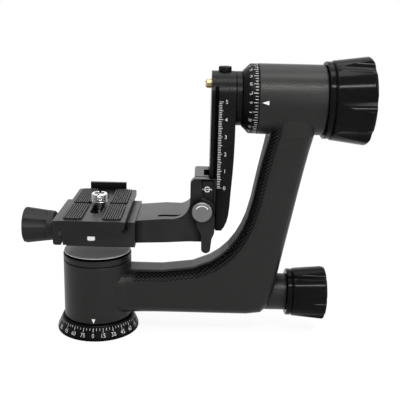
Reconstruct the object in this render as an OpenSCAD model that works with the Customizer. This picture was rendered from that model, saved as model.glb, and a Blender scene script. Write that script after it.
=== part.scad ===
// Gimbal tripod head: pan base, L-shaped carbon arm, tilt housing, swinging rail
// and a sliding platform with a quick-release clamp and plate. Millimetres.
// Origin on the pan axis at the underside of the base; +X runs towards the
// upright arm, +Y away from the viewer, +Z up.

/* [Pan base] */
// radius of the pan dial ring at its foot
ring_r = 25.3; // [24.6:0.1:26.5]
// height of the pan dial ring
ring_h = 8.6; // [8.2:0.1:9]
// radius of the pan dial ring at its top edge
ring_top_r = 21.8; // [21.4:0.1:22.4]
// radius of the carbon pan housing
pan_r = 20.9; // [20.4:0.1:21.4]
// height of the straight side of the pan cap
cap_side = 4.2; // [3.6:0.1:5]
// height of the domed disc on top of the pan cap
cap_dome = 1.6; // [1.2:0.1:2.2]
// wall radius of the 3/8 inch tripod thread
thread_r = 4.4; // [4.3:0.05:4.8]

/* [Carbon arm] */
// depth of the foot of the arm, underside to top
arm_deep = 27.1; // [26:0.1:31]
// thickness of the arm from front to back
arm_thick = 28; // [26:0.5:30]
// rounding of the arm's long edges
arm_round = 8; // [6:0.5:9]
// wall of the hollow carbon moulding
arm_wall = 3; // [2.5:0.1:3.4]
// how far the arm spreads where it runs into a housing
arm_flare = 5; // [3:0.5:5.5]

/* [Tilt head] */
// height of the tilt axis above the underside of the clamp
tilt_rise = 85.5; // [82:0.5:100]
// radius of the carbon tilt housing
tilt_r = 20.5; // [20.2:0.1:21]
// length of the tilt housing
tilt_len = 38.5; // [37.6:0.1:39.4]
// radius of the band of the tilt dial
dial_r = 20.3; // [20:0.1:20.8]
// width of the band of the tilt dial
dial_band = 4.7; // [4:0.1:5]
// length of the cone of the tilt dial
dial_cone = 3.9; // [3.4:0.1:4.2]
// length of the hub between the rail and the tilt dial
spacer_len = 3.9; // [3.4:0.1:6]
// radius of the shafts in the bearings
shaft_r = 8; // [7.8:0.1:8.2]

/* [Swing rail] */
// half width of the rail, also the radius of its round top
rail_half = 15.8; // [15.4:0.1:16]
// distance from the pan axis to the left face of the rail
rail_left = 68; // [64:0.5:80]
// thickness of the rail at its top
rail_deep = 14.3; // [13.8:0.1:15]
// thickness of the gripped flange
flange_t = 2; // [1.8:0.1:2.2]
// width of the groove behind the flange
groove_w = 2.1; // [1.9:0.1:2.3]
// depth of the groove behind the flange
groove_d = 2.4; // [2:0.1:2.8]

/* [Platform] */
// gap between the pan cap and the clamp
hand_gap = 7.8; // [6:0.1:12]
// thickness of the platform arm at the clamp
plat_t = 13.8; // [13:0.1:14.2]
// half width of the platform at the clamp
plat_half = 19.2; // [18.8:0.1:19.6]
// half width of the upright part of the bracket
grip_half = 18; // [17.8:0.1:18.2]
// height of the upright part of the bracket
grip_h = 31; // [29:0.5:34]
// width of the slit that lets the front cheek flex
slit_w = 1.5; // [1.2:0.1:1.8]
// radius of the inner bend of the bracket
bend_r = 10; // [8:0.5:11]
// radius of the lever's cap
lever_r = 5.9; // [5.5:0.1:6.1]
// travel of the platform along the rail
plat_travel = 50; // [40:1:50]

/* [Clamp] */
// half length of the clamp jaws
clamp_half = 24.5; // [23:0.1:24.8]
// height of the clamp, underside to the top of the jaws
clamp_deep = 15.4; // [15:0.1:15.8]
// radius of the clamp knob at its outer end
cknob_r = 11.1; // [10.6:0.1:11.4]
// length of the clamp knob
cknob_len = 19; // [18:0.1:20]
// opening stroke of the moving jaw
jaw_stroke = 2; // [1:0.1:2.4]

/* [Plate] */
// width of the camera plate
plate_w = 37.8; // [37.6:0.1:38]
// length of the camera plate
plate_len = 75; // [73:0.5:77]
// thickness of the camera plate
plate_t = 8.8; // [8.4:0.1:9.2]
// width of the slot for the camera screw
slot_w = 6.5; // [6.4:0.1:6.8]
// length of the slot for the camera screw
slot_len = 42; // [38:1:44]
// height of the rubber pads above the plate
pad_rise = 0.9; // [0.6:0.1:1.1]
// rounding of the corners of the pads
pad_round = 2.6; // [1:0.2:3]
// radius of the camera thread adapter
adapter_r = 4.76; // [4.6:0.02:4.8]

/* [Knobs] */
// radius of the rim of the tilt lock knob
tknob_r = 25.8; // [25.2:0.1:26.4]
// length of the tilt lock knob
tknob_len = 26.4; // [25.6:0.1:27.2]
// radius of the rim of the pan lock knob
pknob_r = 16.6; // [16:0.1:17]
// length of the pan lock knob
pknob_len = 24.2; // [23.4:0.1:25]
// number of flutes in the lock knobs
flutes = 7; // [6:1:8]

/* [Clearances] */
// gap between parts that turn or slide on each other
run_gap = 0.3; // [0.25:0.05:0.35]
// gap between parts that are screwed or pressed together
seat_gap = 0.05; // [0.03:0.01:0.08]

/* [Hidden] */
$fn = 64;
eps = 0.01;

// shared sizes of the two bearing pairs
race_h = 6;
race_inner_r = shaft_r + 1.9;
ball_path_r = shaft_r + 3.2;
ball_r = 1.5;
race_outer_r = shaft_r + 4.5;
race_seat_r = shaft_r + 6.3;
sleeve_r = shaft_r + 9.3;
sleeve_shoulder_r = race_seat_r - 1;
balls_per_race = 14;

// pan stack, heights
disc_h = 5;
disc_r = ring_r - 4.6;
flange_h = 3;
arm_low = ring_h + 4.2;
arm_top = arm_low + arm_deep;
pan_top = arm_top + 5.2;
cap_groove = 1.3;
cap_top = pan_top + cap_side + cap_groove + cap_dome;
pan_lo_race = ring_h + 2.4;
pan_hi_race = pan_top - 12;
shaft_thread_r = shaft_r - 2;
lock_z = arm_low + arm_deep / 2 - 1.3;

// platform and clamp, heights that stack on the pan cap
clamp_low = cap_top + hand_gap;
jaw_top = clamp_low + clamp_deep;
plat_top = jaw_top - 0.2;
plat_low = plat_top - plat_t;
plate_low = clamp_low + 10.6;
plate_top = plate_low + plate_t;
cknob_z = clamp_low + 5.2;
tilt_z = clamp_low + tilt_rise;
rail_foot = clamp_low + 9;
grip_foot = rail_foot + 0.6;
grip_top = grip_foot + grip_h;
lever_z = grip_top - 18.7;
plat_rise = 1.2;

// rail, hub, dial and tilt housing, from left to right
rail_right = rail_left + rail_deep;
groove_left = rail_left + flange_t;
groove_right = groove_left + groove_w;
hub_right = rail_right - 0.4;
spacer_right = hub_right + spacer_len;
dial_x = spacer_right + seat_gap;
tilt_left = spacer_right + dial_cone + dial_band + 0.4;
tilt_right = tilt_left + tilt_len;
tilt_lo = tilt_left + 4.6;
tilt_hi = tilt_right - 4.6 - race_h;
hub_screw_x = rail_left + 7.6;

// arm curves: the inner one leaves the foot, turns up and leans outwards
in_a = [tilt_left - 54.8, arm_top];
in_b = [tilt_left - 18.8, arm_top];
in_c = [tilt_left - 5.8, mix(arm_top, tilt_z, 0.19)];
in_d = [tilt_left - 0.8, mix(arm_top, tilt_z, 0.43)];
in_e = [tilt_left + 7.5, tilt_z - 20];
in_f = [tilt_left + 10.5, tilt_z];
out_a = [tilt_left - 40.8, arm_low];
out_b = [tilt_left + 1.2, arm_low];
out_c = [tilt_left + 8.2, arm_low];
out_d = [tilt_left + 11.5, arm_low + 2.7];
out_e = [tilt_left + 13.7, arm_low + 11.2];
out_f = [tilt_right - 5.6, tilt_z - 19.6];
out_g = [tilt_right - 3.2, tilt_z];

// bracket and lever
grip_left = rail_left - 11;
grip_right = groove_right - 0.5;
rear_left = grip_left + 2.2;
slit_y = -grip_half + 7.2;
slit_mid = slit_y - slit_w / 2;
slit_left = grip_left - 17.5;
bend_top = plat_top + plat_rise;
lever_x = rail_left - 4;
lever_face = grip_half + 0.4;
lever_t = 3.2;
stud_r = 3;
m3_r = 1.5;

// clamp and plate: the jaws follow the plate's V-grooves at one clearance
plate_x = 1.9;
plate_left = plate_x - plate_w / 2;
plate_right = plate_x + plate_w / 2;
plate_front = -plate_len / 2;
vee_deep = 1.6;
vee_mid = 3;
grip_gap = run_gap / 0.74;
floor_z = plate_low - run_gap;
fix_right = plate_right + 4.6;
base_left = plate_left + 0.4;
jaw_left = plate_left - 5.3;
cknob_in = jaw_left - 3;
pin_r = 1.8;
bolt_r = 2.5;

// knobs
tknob_start = tilt_right + 0.4;
pknob_start = tilt_left + 22.8;

// ---------------------------------------------------------------- helpers

function mix(a, b, t) = a + (b - a) * t;
function bez(a, b, c, d, t) =
  pow(1 - t, 3) * a + 3 * pow(1 - t, 2) * t * b
  + 3 * (1 - t) * t * t * c + t * t * t * d;

// points of an arc in a turned profile, radius first, from angle a0 to a1
function arc_rz(cr, cz, r, a0, a1) =
  [for (k = [0:6]) let (a = mix(a0, a1, k / 6)) [cr + r * cos(a), cz + r * sin(a)]];

// rod and ring along +X, starting at x
module x_rod(x, len, r) {
  translate([x, 0, 0]) rotate([0, 90, 0]) cylinder(r = r, h = len);
}
module x_cone(x, len, r1, r2) {
  translate([x, 0, 0]) rotate([0, 90, 0]) cylinder(r1 = r1, r2 = r2, h = len);
}
module x_ring(x, len, r_out, r_in) {
  difference() {
    x_rod(x, len, r_out);
    x_rod(x - 1, len + 2, r_in);
  }
}
// outline given in X and Z, carried from y0 to y1
module slab_y(y0, y1) {
  translate([0, y1, 0]) rotate([90, 0, 0]) linear_extrude(y1 - y0) children();
}
module block(x0, x1, y0, y1, z0, z1) {
  translate([x0, y0, z0]) cube([x1 - x0, y1 - y0, z1 - z0]);
}

// bearing parts along +Z from z = 0
module race_in() {
  difference() {
    cylinder(r = race_inner_r, h = race_h);
    translate([0, 0, -1]) cylinder(r = shaft_r + seat_gap, h = race_h + 2);
    translate([0, 0, race_h / 2]) ball_groove();
  }
}
module race_out() {
  difference() {
    cylinder(r = race_seat_r - seat_gap, h = race_h);
    translate([0, 0, -1]) cylinder(r = race_outer_r, h = race_h + 2);
    translate([0, 0, race_h / 2]) ball_groove();
  }
}
module ball_groove() {
  rotate_extrude() translate([ball_path_r, 0]) circle(r = ball_r + run_gap, $fn = 32);
}
module ball_set() {
  for (i = [0:balls_per_race - 1])
    rotate([0, 0, i * 360 / balls_per_race])
      translate([ball_path_r, 0, race_h / 2]) sphere(r = ball_r + run_gap / 2, $fn = 24);
}
// liner with a seat for a race at each end, along +Z
module liner(len, lo_seat, hi_seat) {
  difference() {
    cylinder(r = sleeve_r - seat_gap, h = len);
    translate([0, 0, -1]) cylinder(r = sleeve_shoulder_r, h = len + 2);
    translate([0, 0, -1]) cylinder(r = race_seat_r, h = lo_seat + 1);
    translate([0, 0, hi_seat]) cylinder(r = race_seat_r, h = len);
  }
}
// socket cap screw pointing along -Z, seat at z = 0
module cap_screw(r, head_r, head_h, len) {
  difference() {
    union() {
      cylinder(r = head_r, h = head_h - 0.5);
      translate([0, 0, head_h - 0.5]) cylinder(r1 = head_r, r2 = head_r - 0.5, h = 0.5);
      translate([0, 0, -len]) cylinder(r = r, h = len + eps);
    }
    translate([0, 0, head_h * 0.45]) cylinder(r = head_r * 0.55, h = head_h, $fn = 6);
  }
}

// ---------------------------------------------------------------- pan base

module base_disc() {
  color("#1d1d1f") difference() {
    union() {
      cylinder(r1 = disc_r - 0.8, r2 = disc_r - seat_gap, h = 0.8);
      translate([0, 0, 0.8]) cylinder(r = disc_r - seat_gap, h = disc_h - 0.8);
    }
    translate([0, 0, -1]) cylinder(r = insert_r() + seat_gap, h = disc_h + 2);
    // shallow turned recess that leaves a footing ring
    translate([0, 0, -1]) difference() {
      cylinder(r = disc_r - 2.6, h = 1.5);
      cylinder(r = insert_r() + 2.4, h = 1.5);
    }
    at_base_screws() {
      translate([0, 0, -1]) cylinder(r = 1.7, h = disc_h + 2);
      translate([0, 0, -1]) cylinder(r = 3.1, h = 3.6);
    }
  }
}

function insert_r() = thread_r + 2;
module at_base_screws() {
  for (i = [0:3]) rotate([0, 0, 45 + i * 90]) translate([11.6, 0, 0]) children();
}

module tripod_insert() {
  color("#b9b9bd") difference() {
    union() {
      cylinder(r = insert_r(), h = 11.8);
      translate([0, 0, disc_h + seat_gap]) cylinder(r = insert_r() + 1.2, h = 1.2, $fn = 6);
    }
    translate([0, 0, -1]) cylinder(r = thread_r, h = 11);
  }
}

module base_screws() {
  color("#8f8f93") at_base_screws() translate([0, 0, 2.6 - seat_gap]) mirror([0, 0, 1])
    cap_screw(1.5, 2.9, 1.8, 5);
}

module pan_dial_ring() {
  color("#232325") difference() {
    union() {
      cylinder(r = ring_r, h = 1.3);
      translate([0, 0, 1.3]) cylinder(r1 = ring_r, r2 = ring_top_r + 0.5, h = ring_h - 1.9);
      translate([0, 0, ring_h - 0.6]) cylinder(r1 = ring_top_r + 0.5, r2 = ring_top_r, h = 0.6);
    }
    translate([0, 0, -1]) cylinder(r = disc_r, h = disc_h + 1);
    translate([0, 0, -1]) cylinder(r = sleeve_r - 2, h = ring_h + 2);
    // turned line between the ticks and the foot
    translate([0, 0, 1.3]) rotate_extrude() translate([ring_r + 0.35, 0]) circle(r = 0.5, $fn = 24);
  }
}

module pan_spindle() {
  color("#6f7074") difference() {
    union() {
      translate([0, 0, disc_h]) cylinder(r = sleeve_r - 2.4, h = flange_h);
      translate([0, 0, disc_h + flange_h]) cylinder(r = shaft_r + 1, h = pan_lo_race - disc_h - flange_h);
      translate([0, 0, pan_lo_race - eps]) cylinder(r = shaft_r, h = pan_hi_race + race_h - pan_lo_race);
      translate([0, 0, pan_hi_race + race_h - eps]) cylinder(r = shaft_thread_r, h = 4.6);
    }
    translate([0, 0, disc_h - 1]) cylinder(r = insert_r() + seat_gap, h = 8);
    translate([0, 0, disc_h - 1]) cylinder(r = insert_r() + 1.3, h = 2.4, $fn = 6);
    translate([0, 0, 15]) cylinder(r = 3, h = pan_top);
    at_base_screws() translate([0, 0, disc_h - 1]) cylinder(r = 1.5 + seat_gap, h = flange_h + 2);
  }
}

module pan_inner_races() {
  color("#a9abb0") {
    translate([0, 0, pan_lo_race]) race_in();
    translate([0, 0, pan_hi_race]) race_in();
  }
}

module pan_nut() {
  color("#8f8f93") translate([0, 0, pan_hi_race + race_h + seat_gap]) difference() {
    cylinder(r = shaft_r + 1.6, h = 3.6, $fn = 6);
    translate([0, 0, -1]) cylinder(r = shaft_thread_r + seat_gap, h = 6);
  }
}

// ------------------------------------------------------------- carbon arm

// cross-section of the arm between an inner and an outer point of the curves,
// drawn in by wall, half thickness half
edge_steps = 5;
function corner(cu, cy, r, a0) = [for (k = [0:edge_steps])
  let (a = a0 + k * 90 / edge_steps) [cu + r * cos(a), cy + r * sin(a)]];
function section(w, half, r) = concat(
  corner(w - r, half - r, r, 0), corner(r, half - r, r, 90),
  corner(r, r - half, r, 180), corner(w - r, r - half, r, 270));
function place(p, q, half, wall) =
  let (w = norm(q - p), u = (q - p) / w)
  [for (s = section(w - 2 * wall, half - wall, arm_round - wall / 2))
    [p[0] + u[0] * (s[0] + wall), s[1], p[1] + u[1] * (s[0] + wall)]];

arm_half = arm_thick / 2;
// stations: inner point, outer point, half thickness
foot = [for (k = [0:6]) let (t = k / 6)
  [mix([6, arm_top], in_a, t), mix([6, arm_low], out_a, t),
   arm_half + arm_flare * pow(1 - t, 4)]];
bend_in = [0.2, 0.35, 0.45, 0.55];
bend_out = [0.6, 0.95, 1.35, 1.75];
heel_in = [0.65, 0.75, 0.85, 1];
heel_out = [0.04, 0.15, 0.29, 0.45];
// the outer curve counts 0 to 1 along the foot and 1 to 2 round the heel
function outer(t) = t <= 1 ? mix(out_a, out_b, t) : bez(out_b, out_c, out_d, out_e, t - 1);
bend = [for (k = [0:3]) [bez(in_a, in_b, in_c, in_d, bend_in[k]), outer(bend_out[k]), arm_half]];
heel = [for (k = [0:3])
  [bez(in_a, in_b, in_c, in_d, heel_in[k]), mix(out_e, out_f, heel_out[k]), arm_half]];
leg = [for (k = [1:6]) let (t = k / 6)
  [mix(in_d, in_e, t) - [1.6 * t * (1 - t), 0], mix(mix(out_e, out_f, 0.45), out_f, t),
   arm_half + arm_flare * 0.8 * pow(t, 5)]];
neck = [[in_f, out_g, arm_half + arm_flare * 0.8]];
stations = concat(foot, bend, heel, leg, neck);

module arm_loft(wall, first, last) {
  rings = [for (i = [first:last])
    place(stations[i][0], stations[i][1], stations[i][2], wall)];
  n = len(rings[0]);
  m = len(rings);
  points = [for (ring = rings) each ring];
  sides = [for (i = [0:m - 2]) for (j = [0:n - 1]) let (a = i * n + j, b = i * n + (j + 1) % n)
    each [[b, a, a + n], [b, a + n, b + n]]];
  lid0 = [[for (j = [0:n - 1]) j]];
  lid1 = [[for (j = [0:n - 1]) m * n - 1 - j]];
  polyhedron(points = points, faces = concat(sides, lid0, lid1), convexity = 8);
}

module arm_shell() {
  color("#202123") difference() {
    union() {
      arm_loft(0, 0, len(stations) - 1);
      translate([0, 0, ring_h + 0.4]) cylinder(r1 = pan_r - 0.4, r2 = pan_r, h = 0.4);
      translate([0, 0, ring_h + 0.8]) cylinder(r = pan_r, h = pan_top - ring_h - 0.8);
      translate([0, 0, tilt_z]) x_rod(tilt_left, tilt_len, tilt_r);
    }
    arm_loft(arm_wall, 3, len(stations) - 3);
    translate([0, 0, -1]) cylinder(r = sleeve_r, h = pan_top + 2);
    translate([0, 0, tilt_z]) x_rod(tilt_left - 1, tilt_len + 2, sleeve_r);
    translate([0, 0, lock_z]) x_rod(sleeve_r - 7, 20, rod_r + run_gap);
    translate([0, 0, lock_z]) x_rod(tilt_left + 3.2, 20, spigot_r);
  }
}
rod_r = 2.5;
spigot_r = 7.5;
stem_r = 11.4;

module pan_sleeve() {
  color("#7c7d82") difference() {
    translate([0, 0, pan_lo_race - 0.6])
      liner(pan_top - pan_lo_race - 2, race_h + 0.6, pan_hi_race - pan_lo_race + 0.6);
    translate([0, 0, lock_z]) x_rod(9, 12, shoe_r + run_gap);
  }
}
shoe_r = 3.2;

module pan_outer_races() {
  color("#a9abb0") {
    translate([0, 0, pan_lo_race]) race_out();
    translate([0, 0, pan_hi_race]) race_out();
  }
}

module pan_balls() {
  color("#d0d2d6") {
    translate([0, 0, pan_lo_race]) ball_set();
    translate([0, 0, pan_hi_race]) ball_set();
  }
}

module pan_cap() {
  line = 0.5;
  plug_r = sleeve_r - 0.1;
  side_top = pan_top + cap_side;
  disc_low = side_top + cap_groove;
  dome_r = pan_r - 0.4;
  color("#1b1b1d") rotate_extrude() polygon(concat(
    [[0, pan_top + 1.4], [race_seat_r, pan_top + 1.4], [race_seat_r, pan_top - 1.2],
     [plug_r, pan_top - 1.2], [plug_r, pan_top], [pan_r - line, pan_top],
     [pan_r - line, pan_top + 0.2], [pan_r, pan_top + 0.2 + line], [pan_r, side_top - 0.3],
     [pan_r - 0.3, side_top], [pan_r - 2.2, side_top], [pan_r - 2.2, disc_low],
     [dome_r, disc_low]],
    [for (k = [1:9]) let (a = k * 10)
      [mix(dome_r * 0.2, dome_r, cos(a)), disc_low + 0.3 + (cap_dome - 0.3) * sin(a)]],
    [[0, disc_low + cap_dome]]));
}

module pan_lock_boss() {
  color("#1b1b1d") difference() {
    translate([0, 0, lock_z]) x_rod(tilt_left + 1.2, pknob_start - tilt_left - 1.2 - run_gap, stem_r);
    arm_loft(-seat_gap, 0, len(stations) - 1);
    translate([0, 0, lock_z]) x_rod(tilt_left, 40, rod_r + run_gap);
  }
}

module tilt_sleeve() {
  color("#7c7d82") translate([tilt_left + 1.2, 0, tilt_z]) rotate([0, 90, 0])
    liner(tilt_len - 2.4, tilt_lo - tilt_left - 1.2 + race_h, tilt_hi - tilt_left - 1.2);
}
module on_tilt(x) {
  translate([x, 0, tilt_z]) rotate([0, 90, 0]) children();
}

module tilt_outer_races() {
  color("#a9abb0") {
    on_tilt(tilt_lo) race_out();
    on_tilt(tilt_hi) race_out();
  }
}

module tilt_balls() {
  color("#d0d2d6") {
    on_tilt(tilt_lo) ball_set();
    on_tilt(tilt_hi) ball_set();
  }
}

// -------------------------------------------------------------- pan lock

brake_travel = 0.3;

module pan_lock_rod() {
  color("#8f8f93") translate([0, 0, lock_z]) union() {
    x_rod(shaft_r + 10, pknob_start - shaft_r - 6, rod_r);
    x_rod(shaft_r + 9, 1.2, shoe_r - 0.4);
  }
}

module pan_brake_shoe() {
  color("#b08d57") difference() {
    translate([0, 0, lock_z]) x_rod(shaft_r - 1, 10 - seat_gap, shoe_r);
    translate([0, 0, lock_z - 8]) cylinder(r = shaft_r + brake_travel + 0.15, h = 16);
  }
}

// depth of the end discs of the knobs
end_t = 1.3;

// fluted lock knob along +X: collar, groove, tapered body with rounded rim
module lock_knob(x, z, len, rim_r, rim_round, bore_r) {
  collar_r = rim_r * 0.875;
  waist_r = rim_r * 0.9;
  collar_len = len * 0.15;
  body_x = x + collar_len;
  body_len = len - collar_len;
  cut_r = rim_r * 0.31;
  // a flute enters just past the collar and sinks evenly to the rim
  enter = 0.06;
  enter_r = mix(waist_r, rim_r, enter);
  sink = (enter_r - rim_r * 0.88) / ((1 - enter) * body_len);
  translate([0, 0, z]) difference() {
    translate([x, 0, 0]) rotate([0, 90, 0]) rotate_extrude() polygon(concat(
      [[0, 0], [collar_r - 0.5, 0], [collar_r, 0.5], [collar_r, collar_len - 0.9],
       [collar_r - 0.7, collar_len - 0.5], [collar_r - 0.7, collar_len],
       [waist_r - 0.6, collar_len], [waist_r, collar_len + 0.6]],
      arc_rz(rim_r - rim_round, len - rim_round, rim_round, 0, 90),
      [[0, len]]));
    x_rod(x - 1, len - 4, bore_r);
    x_rod(x + len - end_t, 3, rim_r * 0.62);
    for (i = [0:flutes - 1]) rotate([i * 360 / flutes - 4.5, 0, 0])
      translate([body_x, -(enter_r + cut_r + sink * enter * body_len), 0])
        rotate([0, 0, atan(sink)]) rotate([0, 90, 0]) cylinder(r = cut_r, h = body_len * 1.2);
  }
}

module pan_knob() {
  color("#0f0f10") lock_knob(pknob_start, lock_z, pknob_len, pknob_r, 1.6, rod_r + 1);
}
module pan_knob_end() {
  color("#161617") translate([0, 0, lock_z])
    knob_end(pknob_start + pknob_len - end_t, pknob_r * 0.62 - seat_gap);
}
// slightly domed disc let into the end of a knob
module knob_end(x, r) {
  union() {
    x_rod(x, end_t - 0.5, r);
    x_cone(x + end_t - 0.5 - eps, 0.4, r, r - 0.8);
  }
}

// ------------------------------------------------------------ swing group

module tilt_shaft() {
  color("#6f7074") translate([0, 0, tilt_z]) difference() {
    union() {
      x_rod(rail_left + 5, tilt_hi + race_h - rail_left - 5, shaft_r);
      x_rod(tilt_left + 0.2, tilt_lo - tilt_left - 0.2, shaft_r + 1);
      x_rod(tilt_hi + race_h - eps, tknob_start + 12 - tilt_hi - race_h, shaft_thread_r);
    }
    // flat and dimple for the hub screw
    translate([hub_screw_x, 0, shaft_r - 2.4]) cylinder(r = 2.2, h = 5);
  }
}

module tilt_inner_races() {
  color("#a9abb0") {
    on_tilt(tilt_lo) race_in();
    on_tilt(tilt_hi) race_in();
  }
}

module tilt_dial() {
  color("#232325") translate([0, 0, tilt_z]) difference() {
    union() {
      x_cone(dial_x, dial_cone - seat_gap, rail_half + 0.4, dial_r - 0.3);
      x_cone(dial_x + dial_cone - seat_gap, 0.3, dial_r - 0.3, dial_r);
      x_rod(dial_x + dial_cone - seat_gap + 0.3, dial_band - 0.3, dial_r);
    }
    x_rod(dial_x - 1, 20, shaft_r + seat_gap);
    // turned line between the numbers and the ticks
    translate([dial_x + dial_cone + 0.4, 0, 0]) rotate([0, 90, 0]) rotate_extrude()
      translate([dial_r + 0.3, 0]) circle(r = 0.45, $fn = 24);
    x_rod(tilt_left - 1.4, 4, race_seat_r);
  }
}

module hub_spacer() {
  color("#1b1b1d") translate([0, 0, tilt_z]) difference() {
    x_rod(hub_right + seat_gap, spacer_right - hub_right - seat_gap, rail_half);
    x_rod(rail_left, 40, shaft_r + seat_gap);
    // turned lines at both ends
    for (x = [hub_right, spacer_right]) translate([x, 0, 0]) rotate([0, 90, 0])
      rotate_extrude() translate([rail_half + 0.2, 0]) circle(r = 0.5, $fn = 24);
  }
}

// side view of the rail: straight gripped face, slimmer towards the foot
module rail_side() {
  r = rail_right - 0.4;
  polygon([[rail_left, rail_foot], [r - 6.3, rail_foot], [r - 4.7, rail_foot + 2.2],
    [r - 3.3, rail_foot + 5.4], [r - 2.4, rail_foot + 9.2], [r - 1.8, rail_foot + 15],
    [r - 1.3, rail_foot + 24.3], [r - 0.6, rail_foot + 35], [r - 0.2, rail_foot + 44],
    [r, rail_foot + 54], [r, tilt_z + rail_half + 1], [rail_left, tilt_z + rail_half + 1]]);
}

module rail() {
  color("#18181a") difference() {
    intersection() {
      slab_y(-rail_half, rail_half) rail_side();
      union() {
        block(rail_left - 1, rail_right, -rail_half, rail_half, rail_foot, tilt_z);
        translate([0, 0, tilt_z]) x_rod(rail_left - 1, rail_deep + 1, rail_half);
      }
    }
    // grooves behind the gripped flange, run out with the cutter's radius
    for (s = [-1, 1]) {
      translate([groove_left, s * rail_half - groove_d, rail_foot - 1])
        cube([groove_w, 2 * groove_d, tilt_z - rail_foot + 7]);
      translate([groove_left, s * (rail_half + 6 - groove_d), tilt_z + 6])
        rotate([0, 90, 0]) cylinder(r = 6, h = groove_w);
    }
    // bore for the shaft and hole for the hub screw
    translate([0, 0, tilt_z]) x_rod(rail_left + 5 - seat_gap, 20, shaft_r + seat_gap);
    translate([hub_screw_x, 0, tilt_z]) cylinder(r = 2.05, h = 30);
    // flat for the head of the hub screw
    translate([hub_screw_x, 0, tilt_z + rail_half - 0.8]) cylinder(r = 4.3, h = 5);
    // hole for the stop
    translate([rail_left - 1, 0, tilt_z + 8.2]) rotate([0, 90, 0])
      cylinder(r = m3_r + seat_gap, h = 5);
  }
}

module hub_screw() {
  color("#141415") translate([hub_screw_x, 0, tilt_z + rail_half - 0.8 + seat_gap])
    cap_screw(2, 3.8, 3.4, rail_half - shaft_r + 0.6);
}

module rail_stop() {
  color("#b8935a") translate([rail_left, 0, tilt_z + 8.2]) difference() {
    union() {
      rotate([0, -90, 0]) cylinder(r = 2.6, h = 2.8);
      translate([-2.8 + eps, 0, 0]) rotate([0, -90, 0]) cylinder(r1 = 2.6, r2 = 1.8, h = 0.8);
      translate([-eps, 0, 0]) rotate([0, 90, 0]) cylinder(r = m3_r, h = 3.6);
    }
    translate([-5, -3, -0.35]) cube([2, 6, 0.7]);
  }
}

// -------------------------------------------------------------- tilt lock

module tilt_washer() {
  color("#8f8f93") translate([0, 0, tilt_z])
    x_ring(tilt_right - 0.8, 0.9, sleeve_r - run_gap, shaft_thread_r + run_gap);
}
module tilt_knob() {
  color("#0f0f10") lock_knob(tknob_start, tilt_z, tknob_len, tknob_r, 2.4, shaft_thread_r + run_gap);
}
module tilt_knob_end() {
  color("#161617") translate([0, 0, tilt_z])
    knob_end(tknob_start + tknob_len - end_t, tknob_r * 0.62 - seat_gap);
}

// --------------------------------------------------------------- platform

module bracket() {
  face = rail_left - run_gap;
  color("#1a1a1c") difference() {
    union() {
      platform_arm();
      // front cheek, and the thicker rear part set back from it
      block(grip_left, face, -grip_half, slit_mid, plat_low + 1.2, grip_top);
      block(rear_left, face, slit_mid - eps, grip_half, plat_low + 1.2, grip_top);
      bend_fillet(grip_left, -grip_half, slit_mid);
      bend_fillet(rear_left, slit_mid - eps, grip_half);
      // lips that reach round the flange of the rail
      for (s = [-1, 1]) grip_lip(s);
    }
    // bevelled upper corner of the cheek and a small one at the rear
    slab_y(-30, slit_mid) polygon([[grip_left - 1, grip_top - 3.6], [grip_left, grip_top - 2.6],
      [grip_left + 0.8, grip_top - 1.2], [grip_left + 2.4, grip_top + 0.1],
      [grip_left - 1, grip_top + 0.1]]);
    slab_y(slit_mid, 30) polygon([[rear_left - 1, grip_top - 1.9], [rear_left + 1, grip_top + 0.1],
      [rear_left - 1, grip_top + 0.1]]);
    pointer_recess();
    // room under the lever, open to the right
    slab_y(-30, 30) polygon([[rail_left - 2, grip_foot], [grip_right + 5, grip_foot],
      [grip_right + 5, clamp_low - 5], [rail_left - 3.6, clamp_low - 5],
      [rail_left - 3.6, plat_low + 2.6]]);
    // stud hole for the lever
    translate([lever_x, -30, lever_z]) rotate([-90, 0, 0]) cylinder(r = stud_r + run_gap, h = 60);
    at_bracket_screws() x_rod(fix_right - 5.4, 13, m3_r + seat_gap);
    flex_slit();
    // pocket in the top beside the rail
    block(rail_left - 3.2, rail_left, -7.2, 8, grip_top - 12, grip_top + 1);
  }
}
// slit that frees the front cheek, with a wider slot along the platform
module flex_slit() {
  wide = slit_w + 2.1;
  block(slit_left, rail_left + 1, slit_y - slit_w, slit_y, plat_low - 1, grip_top + 1);
  translate([slit_left, slit_mid, bend_top - 5]) cylinder(r = wide / 2, h = 10);
  block(slit_left, grip_left - 3, slit_mid - wide / 2, slit_mid + wide / 2, bend_top - 5,
    bend_top + bend_r);
}
// lip and tongue on side s of the rail
module grip_lip(s) {
  lip = s > 0 ? [rail_half + run_gap, grip_half] : [-grip_half, -rail_half - run_gap];
  tongue = s > 0 ? [rail_half - groove_d + run_gap, rail_half + 1]
    : [-rail_half - 1, -rail_half + groove_d - run_gap];
  block(rail_left - run_gap - eps, grip_right, lip[0], lip[1], grip_foot, grip_top);
  block(groove_left + run_gap, grip_right, tongue[0], tongue[1], grip_foot, grip_top);
}
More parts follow.
